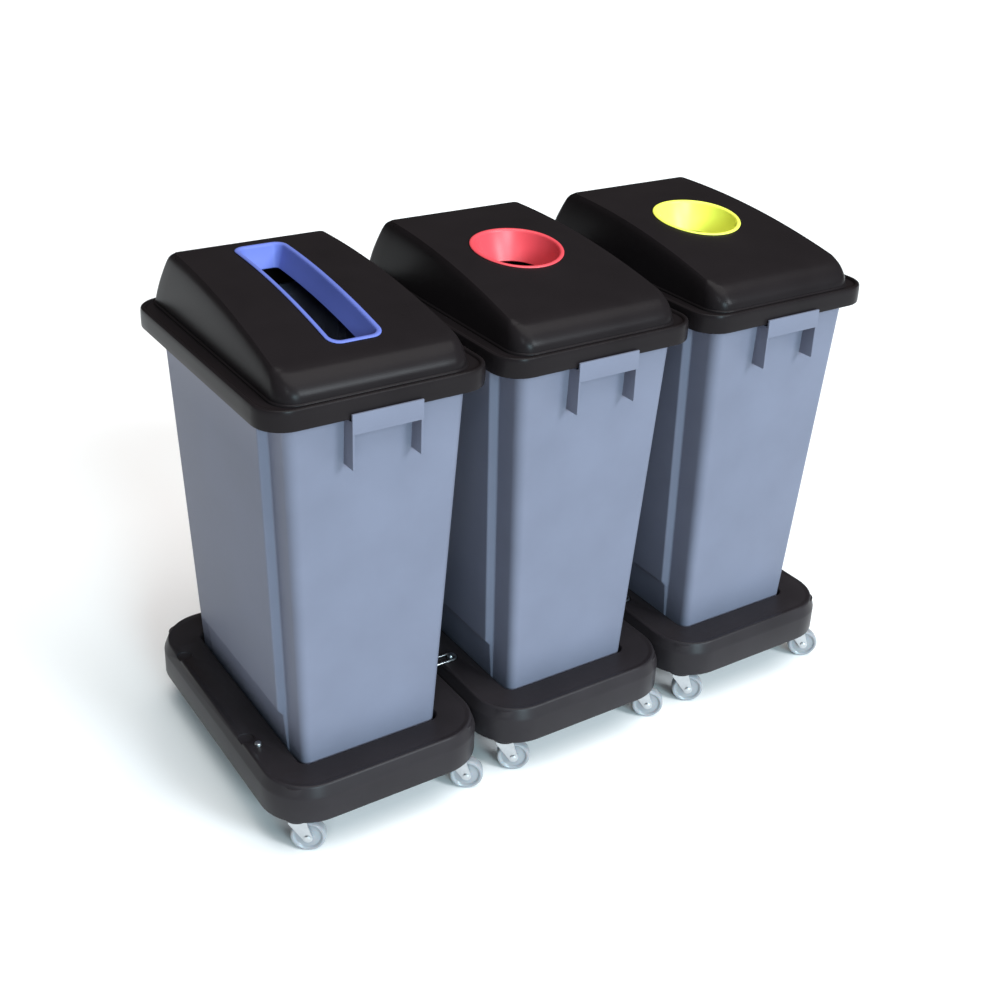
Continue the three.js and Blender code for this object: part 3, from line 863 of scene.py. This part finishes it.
def joint_named(name):
    return next(j for j in frame["joints"] if j["name"] == name)


def place_casters():
    casters = [b[:-len("_swivel")] for b in frame["bodies"] if b.endswith("_swivel")]
    axle_z = joint_named(f"{casters[0]}_wheel_spin")["pos_m"][2] / MM
    wheel, axle, fork = wheel_mesh(), axle_mesh(), fork_mesh(axle_z)
    for name in casters:
        swivel = Vector(joint_named(f"{name}_swivel_turn")["pos_m"])
        spin = joint_named(f"{name}_wheel_spin")
        heading = math.atan2(spin["axis"][1], spin["axis"][0])
        turn = Matrix.Rotation(heading, 4, "Z")
        hub = Matrix.Translation(spin["pos_m"]) @ turn
        stand = Matrix.Translation((swivel.x, swivel.y, 0)) @ turn
        dress(copy_to(fork, f"{name}_bracket", stand), ZINC, "zinc", f"{name}_swivel", f"{name}_fork")
        dress(copy_to(axle, f"{name}_rivet", hub), ZINC, "zinc", f"{name}_swivel", f"{name}_axle")
        dress(copy_to(wheel, f"{name}_tyre", hub), NYLON, "nylon", f"{name}_roller", f"{name}_wheel")
    for thing in (wheel, axle, fork):
        bpy.data.objects.remove(thing)


# ---- studio --------------------------------------------------------------------------------------
def make_camera():
    data = bpy.data.cameras.new("camera")
    data.lens = CAMERA_LENS
    data.sensor_width = 36
    data.shift_x, data.shift_y = CAMERA_SHIFT
    camera = bpy.data.objects.new("camera", data)
    bpy.context.scene.collection.objects.link(camera)
    azimuth, elevation = math.radians(CAMERA_AZIMUTH), math.radians(CAMERA_ELEVATION)
    back = Vector((math.sin(azimuth) * math.cos(elevation), -math.cos(azimuth) * math.cos(elevation),
                   math.sin(elevation)))
    aim = (-back).to_track_quat("-Z", "Y").to_matrix().to_4x4()
    roll = Matrix.Rotation(math.radians(CAMERA_ROLL), 4, "Z")
    camera.matrix_world = Matrix.Translation(CAMERA_PLACE) @ aim @ roll
    bpy.context.scene.camera = camera


def soft_light(name, towards, strength, spread, colour):
    """A very large, distant soft source: direction towards it, strength and apparent size in degrees."""
    data = bpy.data.lights.new(name, "SUN")
    data.energy = strength
    data.angle = math.radians(spread)
    data.color = colour
    light = bpy.data.objects.new(name, data)
    light.rotation_mode = "QUATERNION"
    light.rotation_quaternion = Vector(towards).to_track_quat("Z", "Y")
    bpy.context.scene.collection.objects.link(light)


def make_studio():
    floor = slab("floor", -FLOOR_HALF, FLOOR_HALF, -FLOOR_HALF, FLOOR_HALF, -FLOOR_THICK, 0)
    material = bpy.data.materials.new("floor")
    material.use_nodes = True
    shader = material.node_tree.nodes["Principled BSDF"]
    shader.inputs["Base Color"].default_value = FLOOR_COLOUR
    shader.inputs["Roughness"].default_value = 0.8
    floor.data.materials.append(material)
    world = bpy.data.worlds.new("studio")
    world.use_nodes = True
    world.node_tree.nodes["Background"].inputs["Color"].default_value = WORLD_COLOUR
    world.node_tree.nodes["Background"].inputs["Strength"].default_value = WORLD_STRENGTH
    bpy.context.scene.world = world
    for light in LIGHTS:
        soft_light(*light)
    bpy.context.scene.view_settings.view_transform = "Standard"


make_camera()
make_studio()
place_bins()
place_dollies()
place_links()
place_casters()
